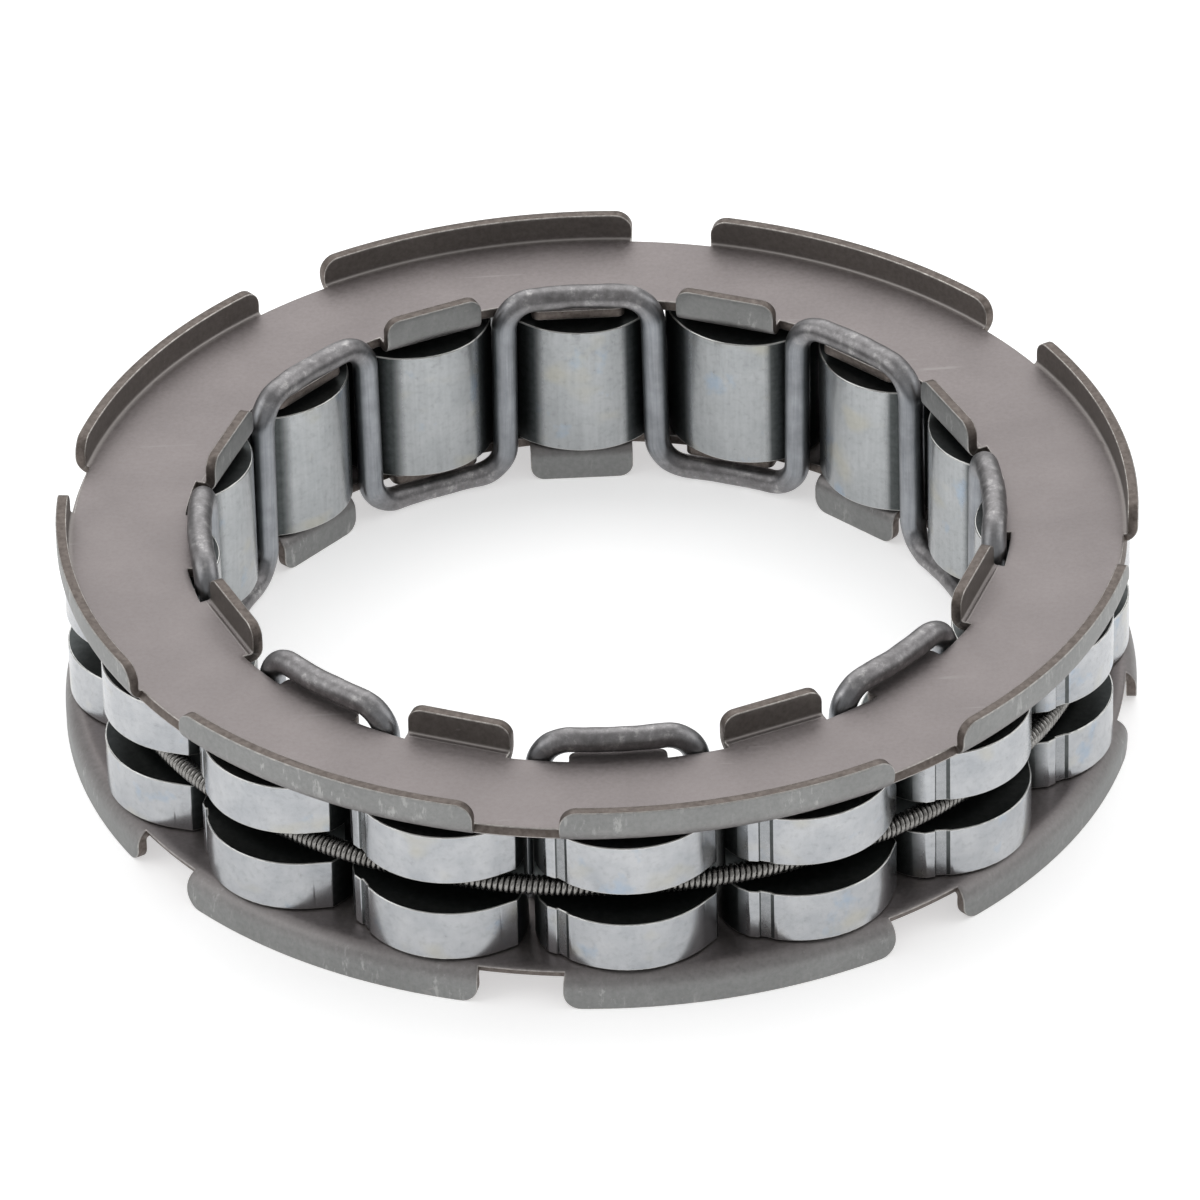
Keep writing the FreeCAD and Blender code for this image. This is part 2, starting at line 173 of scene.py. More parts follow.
# Retainer wire
WIRE_RADIUS = 0.9
WIRE_PATH_RADIUS = 27.35
WIRE_CREST = 7.06
WIRE_CORNER = 2.2
# Sideways run of a leg from its middle to either end
WIRE_LEAN = 0.06
WIRE_SIDES = 32
WIRE_CREST_STEPS = 24
WIRE_STEPS = 16
# Depth of the shallow dents on the crests, and how closely they follow along and around
WIRE_DENT = 0.1
DENT_ALONG = 0.7
DENT_AROUND = 0.6

# Garter spring
SPRING_RING_RADIUS = 34.2
SPRING_COIL_RADIUS = 0.7
SPRING_STRAND_RADIUS = 0.18
SPRING_COILS = 562
SPRING_COIL_STEPS = 14
SPRING_SIDES = 7

# Angles above which an edge stays sharp
SHARP_ANGLE = 30.0
PLATE_SHARP_ANGLE = 50.0
SPRING_SHARP_ANGLE = 80.0


# Meshes


def finished(name, bm, material, sharp_angle=SHARP_ANGLE):
    """Object made from a bmesh in millimetres, smooth except at its sharp edges."""
    bmesh.ops.recalc_face_normals(bm, faces=bm.faces)
    bmesh.ops.scale(bm, vec=(MM, MM, MM), verts=bm.verts)
    mesh = bpy.data.meshes.new(name)
    bm.to_mesh(mesh)
    bm.free()
    mesh.shade_smooth()
    mesh.set_sharp_from_angle(angle=math.radians(sharp_angle))
    mesh.materials.append(material)
    piece = bpy.data.objects.new(name, mesh)
    bpy.context.scene.collection.objects.link(piece)
    return piece


def weigh_normals(piece):
    """Let large faces rule the shading beside the narrow roundings."""
    normals = piece.modifiers.new("normals", "WEIGHTED_NORMAL")
    normals.keep_sharp = True


def arc_points(centre, radius, start, end, count):
    """Points on an arc, from its start to its end angle, both included."""
    turns = [start + (end - start) * step / count for step in range(count + 1)]
    return [(centre[0] + radius * math.cos(t), centre[1] + radius * math.sin(t)) for t in turns]


def turn_toward(start, end):
    """Direction from one point to another, as an angle from 0 to a full turn."""
    return math.atan2(end[1] - start[1], end[0] - start[0]) % (2 * math.pi)


def flank_centre(corner, radius, side):
    """Centre of the arc from a flank's top corner that runs smoothly into the inner cam."""
    inner = Vector(INNER_CAM[:2])
    reach = radius - INNER_CAM[2]
    across = Vector(corner) - inner
    span = across.length
    along = (reach * reach - radius * radius + span * span) / (2 * span)
    rise = math.sqrt(reach * reach - along * along)
    across.normalize()
    return inner + across * along + Vector((-across.y, across.x)) * (side * rise)


def rounded(before, corner, after, radius, count=4):
    """Short arc that replaces a corner of an outline."""
    corner = Vector(corner)
    arm_in = (Vector(before) - corner).normalized()
    arm_out = (Vector(after) - corner).normalized()
    half = arm_in.angle(arm_out) / 2
    middle = corner + (arm_in + arm_out).normalized() * (radius / math.sin(half))
    reach = radius / math.tan(half)
    start, end = corner + arm_in * reach, corner + arm_out * reach
    first = math.atan2(start.y - middle.y, start.x - middle.x)
    last = math.atan2(end.y - middle.y, end.x - middle.x)
    turn = (last - first + math.pi) % (2 * math.pi) - math.pi
    return arc_points(middle, radius, first, first + turn, count)


def ground_band_and_shade(point):
    """How bright the inner cam is at a point: ground bright in a band along its middle, fading to
    painted shade beyond it.
    """
    across = point[0] - BAND_SIDE
    fade = BAND_SHADE_FADE if across < 0 else BAND_SHADE_FADE / 2
    return max(0.0, min(1.0, (BAND_HALF - abs(across)) / fade + 0.5))


def sprag_outline():
    """Section of a sprag, counter-clockwise, as (point, brightness) pairs: 1 where ground, down to
    0 where shade is painted.

    The second value is how many of its points lie above the slot's floor; they come first.
    """
    outer, outer_radius = OUTER_CAM[:2], OUTER_CAM[2]
    inner, inner_radius = INNER_CAM[:2], INNER_CAM[2]
    near_turn = math.acos((GROOVE_NEAR_SIDE - outer[0]) / outer_radius)
    heel_turn = math.acos((HEEL_TOP_SIDE - outer[0]) / outer_radius)
    near = (GROOVE_NEAR_SIDE, outer[1] + outer_radius * math.sin(near_turn))
    heel_top = (HEEL_TOP_SIDE, outer[1] + outer_radius * math.sin(heel_turn))
    near_foot = (near[0] + GROOVE_WALL, near[1] - GROOVE_NEAR_DEPTH)
    far_foot = (GROOVE_FAR[0] - GROOVE_WALL, GROOVE_FAR[1] - GROOVE_FAR_DEPTH)
    outer_run = arc_points(outer, outer_radius, near_turn, heel_turn, OUTER_CAM_STEPS)

    heel_centre = flank_centre(HEEL, HEEL_FLANK_RADIUS, -1)
    toe_centre = flank_centre(TOE, TOE_FLANK_RADIUS, 1)
    heel_cut = math.pi - math.asin((SLOT_FLOOR - heel_centre.y) / HEEL_FLANK_RADIUS)
    toe_cut = math.asin((SLOT_FLOOR - toe_centre.y) / TOE_FLANK_RADIUS)
    heel_foot = turn_toward(heel_centre, inner)
    toe_foot = turn_toward(toe_centre, inner)
    heel_high = arc_points(heel_centre, HEEL_FLANK_RADIUS, turn_toward(heel_centre, HEEL), heel_cut,
                           FLANK_HIGH_STEPS)
    toe_high = arc_points(toe_centre, TOE_FLANK_RADIUS, toe_cut, turn_toward(toe_centre, TOE),
                          FLANK_HIGH_STEPS)
    facet_end = rounded(TOE_TOP, GROOVE_FAR, far_foot, GROOVE_BRINK_ROUND)
    floor_start = rounded(GROOVE_FAR, far_foot, near_foot, GROOVE_FOOT_ROUND, 3)
    floor_end = rounded(far_foot, near_foot, near, GROOVE_FOOT_ROUND, 3)
    cam_start = rounded(near_foot, near, outer_run[1], GROOVE_BRINK_ROUND, 3)
    heel_round = rounded(heel_top, HEEL, heel_high[1], HEEL_ROUND)

    upper = []
    for run, grade in (
            (toe_high[:-1], BLACK),
            (rounded(toe_high[-2], TOE, TOE_TOP, TOE_ROUND), TOE_GRADE),
            (rounded(TOE, TOE_TOP, GROOVE_FAR, TOE_ROUND), BRIGHT),
            (facet_end[:-1], BRIGHT),
            (facet_end[-1:], WALL_GRADE),
            (floor_start[:-1], WALL_GRADE),
            (floor_start[-1:], FLOOR_GRADE),
            (floor_end[:1], FLOOR_GRADE),
            (floor_end[1:], WALL_GRADE),
            (cam_start[:1], WALL_GRADE),
            (cam_start[1:], BRIGHT),
            (outer_run[1:-1], BRIGHT),
            (rounded(outer_run[-2], heel_top, HEEL, HEEL_ROUND), BRIGHT),
            (heel_round[:2], BRIGHT),
            (heel_round[2:], BLACK),
            (heel_high[1:], BLACK)):
        upper += [(spot, grade) for spot in run]
    lower = arc_points(heel_centre, HEEL_FLANK_RADIUS, heel_cut, heel_foot, HEEL_LOW_STEPS)[1:]
    lower += arc_points(inner, inner_radius, heel_foot, toe_foot, INNER_CAM_STEPS)[1:]
    lower += arc_points(toe_centre, TOE_FLANK_RADIUS, toe_foot - 2 * math.pi, toe_cut,
                        TOE_LOW_STEPS)[1:-1]
    return upper + [(spot, ground_band_and_shade(spot)) for spot in lower], len(upper)


def inward(spots):
    """Direction into the section at every point of its outline, scaled for a true offset."""
    after = spots[1:] + spots[:1]
    ways = [(Vector(there) - Vector(here)).normalized() for here, there in zip(spots, after)]
    normals = [Vector((-way.y, way.x)) for way in ways]
    before = normals[-1:] + normals[:-1]
    return [(one + other) / (1 + one.dot(other)) for one, other in zip(before, normals)]


def sprag_mesh(number):
    """Sprag in its own frame.

    Attributes: wall is 1 around the section and 0 on the flat ends and the slot, the brightness
    attribute is 1 on the ground cams and 0 where shade is painted black, rim is 1 on the rounded
    rims, which get a painted highlight, and inner is 1 below the slot, where the cams get a darker
    painted shade.
    The UV map holds the length around the section and the height, apart for every sprag.
    """
    outline, split = sprag_outline()
    spots = [spot for spot, ground_and_shade in outline]
    count = len(spots)
    normals = inward(spots)
    runs = [0.0]
    for k in range(count):
        runs.append(runs[-1] + (Vector(spots[(k + 1) % count]) - Vector(spots[k])).length)
    floor_room = [max(0.0, min(1.0, (spot[1] - SLOT_FLOOR) / FLOOR_FADE)) for spot in spots]
    turns = [math.pi / 2 * step / RIM_STEPS for step in range(RIM_STEPS + 1)]
    quarter = [(RIM_ROUND * (1 - math.cos(turn)), RIM_ROUND * (1 - math.sin(turn)))
               for turn in turns]

    bm = bmesh.new()
    side_wall = bm.faces.layers.float.new("wall")
    ground_and_shade = bm.verts.layers.float.new("ground_and_shade")
    inner = bm.verts.layers.float.new("inner")
    rim = bm.faces.layers.float.new("rim")
    layer = bm.loops.layers.uv.new("around")

    def ring(depth, height, slot):
        made = []
        for k, (x, y) in enumerate(spots):
            into = normals[k] * (depth * floor_room[k] if slot else depth)
            made.append(bm.verts.new((x + into.x, y + into.y, height - SPRAG_DROP)))
            made[-1][ground_and_shade] = outline[k][1]
            made[-1][inner] = 1.0 if k >= split else 0.0
        return made

    def skin(corners, values, spots_on_map):
        face = bm.faces.new(corners)
        face[side_wall], face[rim] = values
        for loop, (run, height) in zip(face.loops, spots_on_map):
            loop[layer].uv = (run + MAP_SPRAG_SHIFT * number, height)

    def wall(low, high, lows, highs, start=0, rounded_until=0):
        for k in range(start, count):
            j = (k + 1) % count
            before, after = runs[k], runs[k + 1]
            spots_on_map = [(before, lows), (after, lows), (after, highs), (before, highs)]
            rounding = 1.0 if k < rounded_until else 0.0
            skin((low[k], low[j], high[j], high[k]), (1.0, rounding), spots_on_map)

    slot_rings = []
    for half in (-1, 1):
        levels = [(depth, half * (SLOT_HEIGHT / 2 + drop), True)
                  for depth, drop in reversed(quarter)]
        levels += [(depth, half * (SPRAG_LENGTH / 2 - drop), False) for depth, drop in quarter]
        # The slot's edges are rounded above its floor, and the flat ends' edges all round
        rounded_spans = [split - 1] * RIM_STEPS + [0] + [count] * RIM_STEPS
        rings = [ring(*level) for level in levels]
        for step, (one, other) in enumerate(zip(rings, rings[1:])):
            wall(one, other, levels[step][1], levels[step + 1][1], 0, rounded_spans[step])
        slot_rings.append(rings[0])
        for cap, shift in ((rings[-1], MAP_END_SHIFT), (rings[0][:split], MAP_SLOT_SHIFT)):
            flat = [(vert.co.x, vert.co.y + shift) for vert in cap]
            skin(cap, (0.0, 0.0), flat)
    low, high = slot_rings
    wall(low, high, -SLOT_HEIGHT / 2, SLOT_HEIGHT / 2, split - 1)
    corners = (low[0], low[split - 1], high[split - 1], high[0])
    skin(corners, (0.0, 0.0), [(vert.co.x, vert.co.z + MAP_END_SHIFT) for vert in corners])
    return bm


# Side plates: one flat pattern, bent up at its outer edge and at its inner tabs


def bent(past, radius, depth):
    """Run and height of a point past a bend line, at a depth above the sheet's lower face.

    The lower face turns in the full radius and the upper face in a tighter crease.
    """
    share = past / (radius * math.pi / 2)
    reach = radius - depth
    crease = reach + (CREASE_RADIUS - reach) * (depth / SHEET) ** 4
    straight = reach - crease
    along = min(share, 1.0) * (2 * straight + crease * math.pi / 2)
    turn = max(0.0, min(math.pi / 2, (along - straight) / crease))
    run = min(along, straight) + crease * math.sin(turn)
    rise = crease * (1 - math.cos(turn)) + max(0.0, along - straight - crease * math.pi / 2)
    upright = max(0.0, share - 1) * radius * math.pi / 2
    return run, PLATE_LOW + depth + rise + upright


def pressed(point, depth):
    """Where a point of the flat pattern lies once the sheet is bent."""
    tab = Matrix.Rotation(-TAB_TURN, 2) @ point
    if tab.x < TAB_BEND_LINE and abs(tab.y) < TAB_HALF + FINGER_ROOM:
        run, height = bent(TAB_BEND_LINE - tab.x, TAB_BEND, depth)
        spot = Matrix.Rotation(TAB_TURN, 2) @ Vector((TAB_BEND_LINE - run, tab.y))
        return Vector((spot.x, spot.y, height))
    if point.length > LIP_BEND_LINE:
        run, height = bent(point.length - LIP_BEND_LINE, LIP_BEND, depth)
        spot = point.normalized() * (LIP_BEND_LINE + run)
        return Vector((spot.x, spot.y, height))
    return Vector((point.x, point.y, PLATE_LOW + depth))


def polar(radius, turn):
    """Point of the flat pattern at a radius and an angle."""
    return Vector((radius * math.cos(turn), radius * math.sin(turn)))


def spaced(start, end, step):
    """Numbers from start to end, both included, about one step apart."""
    count = max(1, round(abs(end - start) / step))
    return [start + (end - start) * k / count for k in range(count + 1)]


def finger(azimuth, half, tip, corner, rows):
    """Outline of a finger on the bore, in along one side, across its tip and out again."""
    root = math.sqrt(BORE * BORE - half * half)
    side = [(root, -half)]
    side += [(x, -half) for x in rows if tip + corner + ROW_ROOM < x < root - ROW_ROOM]
    side += arc_points((tip + corner, corner - half), corner, -math.pi / 2, -math.pi, 8)
    across = [(tip, y) for y in spaced(corner - half, half - corner, FINGER_COLUMN)[1:-1]]
    turned = Matrix.Rotation(azimuth, 2)
    return [turned @ Vector(spot) for spot in side + across + [(x, -y) for x, y in reversed(side)]]


def bore_chain():
    """Inner edge of one sector of the pattern, with its tab and its tongue."""
    tab = finger(TAB_TURN, TAB_HALF, TAB_TIP, TAB_CORNER, TAB_ROWS)
    tongue = finger(-TAB_TURN, TONGUE_HALF, TONGUE_TIP, TONGUE_CORNER, TONGUE_ROWS)
    chain = []
    start = -SECTOR_TURN / 2
    for outline in (tab, tongue):
        first, last = (math.atan2(spot.y, spot.x) for spot in (outline[0], outline[-1]))
        chain += [polar(BORE, turn) for turn in spaced(start, first, COLUMN)[:-1]] + outline
        start = last
    return chain + [polar(BORE, turn) for turn in spaced(start, SECTOR_TURN / 2, COLUMN)[1:]]


def lip_edge(reach):
    """Angle from a gap's middle to its side, at a radius of the flat pattern."""
    run, height = bent(reach - LIP_BEND_LINE, LIP_BEND, 0.0)
    above = max(0.0, height - (LIP_TOP - GAP_CORNER))
    flare = GAP_CORNER - math.sqrt(max(0.0, GAP_CORNER ** 2 - above ** 2))
    return math.asin((GAP_HALF + flare) / (LIP_BEND_LINE + run))


def lip_chain():
    """Outer edge of one sector of the pattern, with the gap between two grip tabs."""
    shoulder = LIP_REACH - GAP_CORNER
    rises = [row for row in LIP_ROWS if GAP_REACH + ROW_ROOM < row < shoulder - ROW_ROOM]
    rises += [shoulder + GAP_CORNER * math.sin(math.pi / 2 * k / 10) for k in range(11)]
    half = [polar(GAP_REACH, turn) for turn in spaced(0.0, lip_edge(GAP_REACH), COLUMN)]
    half += [polar(row, lip_edge(row)) for row in rises]
    rim = spaced(lip_edge(LIP_REACH), SECTOR_TURN / 2, COLUMN)[1:]
    half += [polar(LIP_REACH, turn) for turn in rim]
    return [Vector((spot.x, -spot.y)) for spot in reversed(half[1:])] + half


def inset(chain, side, amount):
    """The same chain moved into the sheet; its ends stay on the sector's seams."""
    moved = []
    for k, spot in enumerate(chain):
        if k in (0, len(chain) - 1):
            normal = spot.normalized() * side
        else:
            ways = [(chain[k] - chain[k - 1]).normalized(), (chain[k + 1] - chain[k]).normalized()]
            first, second = (Vector((way.y, -way.x)) * side for way in ways)
            normal = (first + second) / (1 + first.dot(second))
        moved.append(spot + normal * amount)
    return moved


def sector_inside():
    """Points inside one sector of the pattern, close together at the bends."""
    spots = []
    half_turn = SECTOR_TURN / 2
    columns = spaced(-half_turn, half_turn, COLUMN)[1:-1]
    for row in FLAT_ROWS + LIP_ROWS[:-1]:
        for turn in columns:
            above_gap = row > GAP_REACH + GAP_ROOM and abs(turn) > lip_edge(row) + COLUMN / 2
            if row < GAP_REACH - GAP_ROOM or above_gap:
                spots.append(polar(row, turn))
    turned = Matrix.Rotation(TAB_TURN, 2)
    for row in TAB_ROWS:
        for y in spaced(-TAB_HALF, TAB_HALF, FINGER_COLUMN)[1:-1]:
            if row > TAB_TIP + TIP_ROOM and math.hypot(row, y) < BORE - ROOT_ROOM:
                if row > TAB_TIP + TAB_CORNER or abs(y) < TAB_HALF - TAB_CORNER:
                    spots.append(turned @ Vector((row, y)))
    return spots


def upturned(spot):
    """Share of a bend that a point has passed: 0 on the flat ring, 1 on an upright tab."""
    tab = Matrix.Rotation(-TAB_TURN, 2) @ spot
    if tab.x < TAB_BEND_LINE and abs(tab.y) < TAB_HALF + FINGER_ROOM:
        return (TAB_BEND_LINE - tab.x) / (TAB_BEND * math.pi / 2)
    return (spot.length - LIP_BEND_LINE) / (LIP_BEND * math.pi / 2)


def crease_height(spot):
    """How far a point stands up on the fine crease at the root of an inner tab."""
    tab = Matrix.Rotation(-TAB_TURN, 2) @ spot
    inside = TAB_HALF - EDGE_ROUND - abs(tab.y)
    return max(0.0, 1 - abs(tab.x - CREASE_LINE) / CREASE_HALF) if inside > 0 else 0.0


def pressing():
    """Side plate in its own frame: a gap at azimuth 0, lips and tabs turned up.

    Attributes: cut grades the sheared edges, lip is 1 on the upright tabs' outer faces, cove
    is 1 on their inner faces, which get painted shade, and crease is 1 in the bends' corners and at
    an inner tab's root, which get a painted highlight.
    """
    chains = [(bore_chain(), 1), (lip_chain(), -1)]
    verts, marks, faces, cuts = [], [], [], []

    def keep(spot, depth):
        on_crease = depth == SHEET and crease_height(spot)
        verts.append(pressed(spot, depth + on_crease * CREASE_RISE))
        past = max(0.0, min(1.0, upturned(spot)))
        in_corner = max(0.0, 1 - abs(past - 0.5) / CORNER_SHARE)
        upper_face = (0.0, past, max(on_crease, in_corner))
        marks.append(upper_face if depth > SHEET / 2 else (past, 0.0, 0.0))
        return len(verts) - 1

    # Profile of the rounded cut edge, as depth and distance into the sheet
    quarter = [(0.0, 1.0), (0.293, 0.293), (1.0, 0.0)]
    profile = [(depth * EDGE_ROUND, into * EDGE_ROUND) for depth, into in quarter]
    profile += [(SHEET - depth, into) for depth, into in reversed(profile)]
    for chain, side in chains:
        strips = [[keep(spot, depth) for spot in inset(chain, side, into)]
                  for depth, into in profile]
        for level, (one, other) in enumerate(zip(strips, strips[1:])):
            for k in range(len(chain) - 1):
                quad = (one[k], one[k + 1], other[k + 1], other[k])
                faces.append(quad if side > 0 else quad[::-1])
                cuts.append(SHEARED if level == 2 else UPPER_BRINK if level > 2 else LOWER_BRINK)
    bore, lip = (inset(chain, side, EDGE_ROUND) for chain, side in chains)
    seam = [polar(row, SECTOR_TURN / 2) for row in FLAT_ROWS + LIP_ROWS[:-1]]
    other_seam = [Vector((spot.x, -spot.y)) for spot in reversed(seam)]
    outline = bore + seam + lip[::-1] + other_seam
    spots = outline + sector_inside()
    border = [(k, (k + 1) % len(outline)) for k in range(len(outline))]
    flat, _, triangles = delaunay_2d_cdt(spots, border, [], 1, MERGE_IN_PATTERN)[:3]
    for depth in (0.0, SHEET):
        index = [keep(spot, depth) for spot in flat]
        for triangle in triangles:
            corners = [index[k] for k in triangle]
            faces.append(corners if depth else corners[::-1])
            cuts.append(0.0)

    bm = bmesh.new()
    cut = bm.faces.layers.float.new("cut")
    mark_layers = [bm.verts.layers.float.new(name) for name in ("lip", "cove", "crease")]
    for number in range(SECTORS):
        turn = Matrix.Rotation(number * SECTOR_TURN, 3, "Z")
        made = [bm.verts.new(turn @ spot) for spot in verts]
        for vert, values in zip(made, marks):
            for layer, value in zip(mark_layers, values):
                vert[layer] = value
        for corners, value in zip(faces, cuts):
            bm.faces.new([made[k] for k in corners])[cut] = value
    bmesh.ops.remove_doubles(bm, verts=bm.verts, dist=MERGE_DISTANCE)
    return bm


def ring_point(radius, azimuth, height):
    """Point at a radius, an azimuth in degrees and a height."""
    turn = math.radians(azimuth)
    return Vector((radius * math.cos(turn), radius * math.sin(turn), height))


def wire_route():
    """Closed centre line of the wire: crests, corners and upright legs, as points."""
    corner_turn = math.degrees(math.atan((WIRE_CORNER + WIRE_LEAN) / WIRE_PATH_RADIUS))
    crest_half = SPRAG_STEP / 2 - corner_turn
    points = []
    for number in range(SPRAG_COUNT):
        side = 1 if number % 2 == 0 else -1
        middle = number * SPRAG_STEP
        for step in range(WIRE_CREST_STEPS):
            turn = middle - crest_half + 2 * crest_half * step / WIRE_CREST_STEPS
            points.append(ring_point(WIRE_PATH_RADIUS, turn, side * WIRE_CREST))
        end = ring_point(WIRE_PATH_RADIUS, middle + crest_half, side * WIRE_CREST)
        along = Vector((-end.y, end.x, 0)).normalized()
        centre = end - Vector((0, 0, side * WIRE_CORNER))
        for step in range(WIRE_STEPS):
            turn = math.pi / 2 * step / WIRE_STEPS
            lift = Vector((0, 0, side * math.cos(turn)))
            points.append(centre + (along * math.sin(turn) + lift) * WIRE_CORNER)
        leg_top = centre + along * WIRE_CORNER
        next_start = middle + SPRAG_STEP - crest_half
        following = ring_point(WIRE_PATH_RADIUS, next_start, -side * WIRE_CREST)
        backward = Vector((following.y, -following.x, 0)).normalized()
        centre = following + Vector((0, 0, side * WIRE_CORNER))
        leg_foot = centre + backward * WIRE_CORNER
        points += [leg_top.lerp(leg_foot, step / WIRE_STEPS) for step in range(WIRE_STEPS)]
        for step in range(WIRE_STEPS):
            turn = math.pi / 2 * step / WIRE_STEPS
            drop = Vector((0, 0, -side * math.sin(turn)))
            points.append(centre + (backward * math.cos(turn) + drop) * WIRE_CORNER)
    return points


def tube(bm, points, radius, sides, twist_to_close=True, dent=0.0):
    """Closed tube along a closed run of points.

    Its UV map holds the length along it in millimetres and the share of a turn around it.
    The crest attribute rises to 1 where the tube runs above or below the plates, and the
    tube is dented there. With twist_to_close the twist left over at the joint is spread along
    the whole tube.
    """
    crest = bm.verts.layers.float.new("crest")
    count = len(points)
    tangents = [(points[(k + 1) % count] - points[k - 1]).normalized() for k in range(count)]
    normal = tangents[0].orthogonal().normalized()
    normals = []
    for k in range(count):
        normal = (normal - tangents[k] * normal.dot(tangents[k])).normalized()
        normals.append(normal)
    back = (normal - tangents[0] * normal.dot(tangents[0])).normalized()
    gap = back.angle(normals[0])
    if back.cross(normals[0]).dot(tangents[0]) < 0:
        gap = -gap
    rings = []
    lengths = [0.0]
    for k in range(count):
        share = k / count if twist_to_close else 0
        turned = Matrix.Rotation(gap * share, 3, tangents[k]) @ normals[k]
        binormal = tangents[k].cross(turned)
        ring = []
        high = max(0.0, min(1.0, (abs(points[k].z) - PLATE_LOW) / (WIRE_CREST - PLATE_LOW)))
        for side in range(sides):
            turn = 2 * math.pi * side / sides
            out = turned * math.cos(turn) + binormal * math.sin(turn)
            spot = points[k] * DENT_ALONG + out * DENT_AROUND
            hollow = 0.5 + 0.5 * mathutils.noise.noise(spot)
            ring.append(bm.verts.new(points[k] + out * (radius - dent * high * hollow)))
            ring[-1][crest] = high
        rings.append(ring)
        lengths.append(lengths[-1] + (points[(k + 1) % count] - points[k]).length)
    layer = bm.loops.layers.uv.new("route")
    for k in range(count):
        here, there = rings[k], rings[(k + 1) % count]
        for side in range(sides):
            beside = (side + 1) % sides
            face = bm.faces.new((here[side], there[side], there[beside], here[beside]))
            start, end = lengths[k], lengths[k + 1]
            spots = ((start, side), (end, side), (end, side + 1), (start, side + 1))
            for loop, (run, around) in zip(face.loops, spots):
                loop[layer].uv = (run, around / sides)
    return bm


def spring_route():
    """Centre line of the garter spring's strand: a close coil wound round the ring."""
    coil = SPRING_COIL_RADIUS - SPRING_STRAND_RADIUS
    count = SPRING_COILS * SPRING_COIL_STEPS
    points = []
    for number in range(count):
        azimuth = 2 * math.pi * number / count
        turn = 2 * math.pi * number / SPRING_COIL_STEPS
        radius = SPRING_RING_RADIUS + coil * math.cos(turn)
        height = coil * math.sin(turn)
        points.append(Vector((radius * math.cos(azimuth), radius * math.sin(azimuth), height)))
    return points


# Materials

# Dark and light tone of each surface, as linear colours of the metal
PLATE_FLAT = ((0.235, 0.209, 0.207), (0.298, 0.271, 0.268))
PLATE_OUTER_LIP = ((0.218, 0.221, 0.218), (0.29, 0.292, 0.288))
# Inner faces of the upright tabs: a darker copy of the sheet, painted shade
PLATE_INNER_LIP_SHADED = ((0.19, 0.173, 0.16), (0.26, 0.239, 0.223))
PLATE_SHEARED = ((0.105, 0.088, 0.078), (0.2, 0.172, 0.156))
WIRE_DRAWN = ((0.235, 0.247, 0.266), (0.33, 0.342, 0.36))
WIRE_BENT = ((0.2, 0.193, 0.195), (0.31, 0.302, 0.306))
SPRING_WIRE = ((0.19, 0.184, 0.175), (0.33, 0.323, 0.31))
SPRAG_GROUND = ((0.355, 0.37, 0.39), (0.49, 0.498, 0.51))
# Inner cams below the slot: a darker copy of the ground tone, painted shade from the shadowed floor
# they reflect
SPRAG_INNER_SHADED = ((0.35, 0.365, 0.373), (0.425, 0.437, 0.444))
# Black of the flanks, ends, slot and groove walls: painted shade between the sprags
SPRAG_PAINTED_SHADE = ((0.06, 0.067, 0.067), (0.1, 0.108, 0.108))
# Single tones of the marks
PLATE_SCUFF = (0.42, 0.42, 0.41)
PLATE_SCRATCH = (0.4, 0.38, 0.37)
# Painted glint along the real burr of the sheared edges
PLATE_BURR_GLINT = (0.52, 0.495, 0.465)
# Painted highlight in the bends' corners and along the crease
PLATE_CREASE_HIGHLIGHT = (0.42, 0.4, 0.38)
WIRE_SCUFF = (0.52, 0.51, 0.5)
# Painted highlight on the sprags' rounded rims
SPRAG_RIM_HIGHLIGHT = (0.56, 0.56, 0.54)
TEMPER_BLUE = (0.28, 0.375, 0.49)
TEMPER_STRAW = (0.45, 0.425, 0.33)


def new_material(name):
    """Material with its node tree and its shader."""
    material = bpy.data.materials.new(name)
    material.use_nodes = True
    tree = material.node_tree
    shader = tree.nodes["Principled BSDF"]
    return material, tree, shader


def add(tree, kind, values=None, **settings):
    """Node with some of its inputs' values and its own settings."""
    node = tree.nodes.new(kind)
    for name, value in settings.items():
        setattr(node, name, value)
    for name, value in (values or {}).items():
        node.inputs[name].default_value = value
    return node


def place(tree, stretch=(1, 1, 1)):
    """Coordinates in millimetres, stretched along an axis where a mark runs along it."""
    source = add(tree, "ShaderNodeTexCoord")
    mapping = add(tree, "ShaderNodeMapping", {"Scale": [s / MM for s in stretch]})
    tree.links.new(source.outputs["Object"], mapping.inputs["Vector"])
    return mapping.outputs["Vector"]


def noise(tree, where, scale, detail=3.0, roughness=0.55):
    """Noise from 0 to 1; its scale is in cells per millimetre."""
    values = {"Scale": scale, "Detail": detail, "Roughness": roughness}
    node = add(tree, "ShaderNodeTexNoise", values)
    tree.links.new(where, node.inputs["Vector"])
    return node.outputs["Fac"]


def ramp(tree, factor, stops):
    """Colour ramp from (position, colour) pairs; a number stands for a grey."""
    node = add(tree, "ShaderNodeValToRGB")
    elements = node.color_ramp.elements
    while len(elements) < len(stops):
        elements.new(0.5)
    for element, (position, colour) in zip(elements, stops):
        element.position = position
        tone = (colour,) * 3 if isinstance(colour, (int, float)) else colour
        element.color = (*tone, 1.0)
    tree.links.new(factor, node.inputs["Fac"])
    return node.outputs["Color"]


def tones(tree, factor, pair, low, high):
    """Ramp from a pair's dark tone to its light one between two values of the factor."""
    return ramp(tree, factor, [(low, pair[0]), (high, pair[1])])


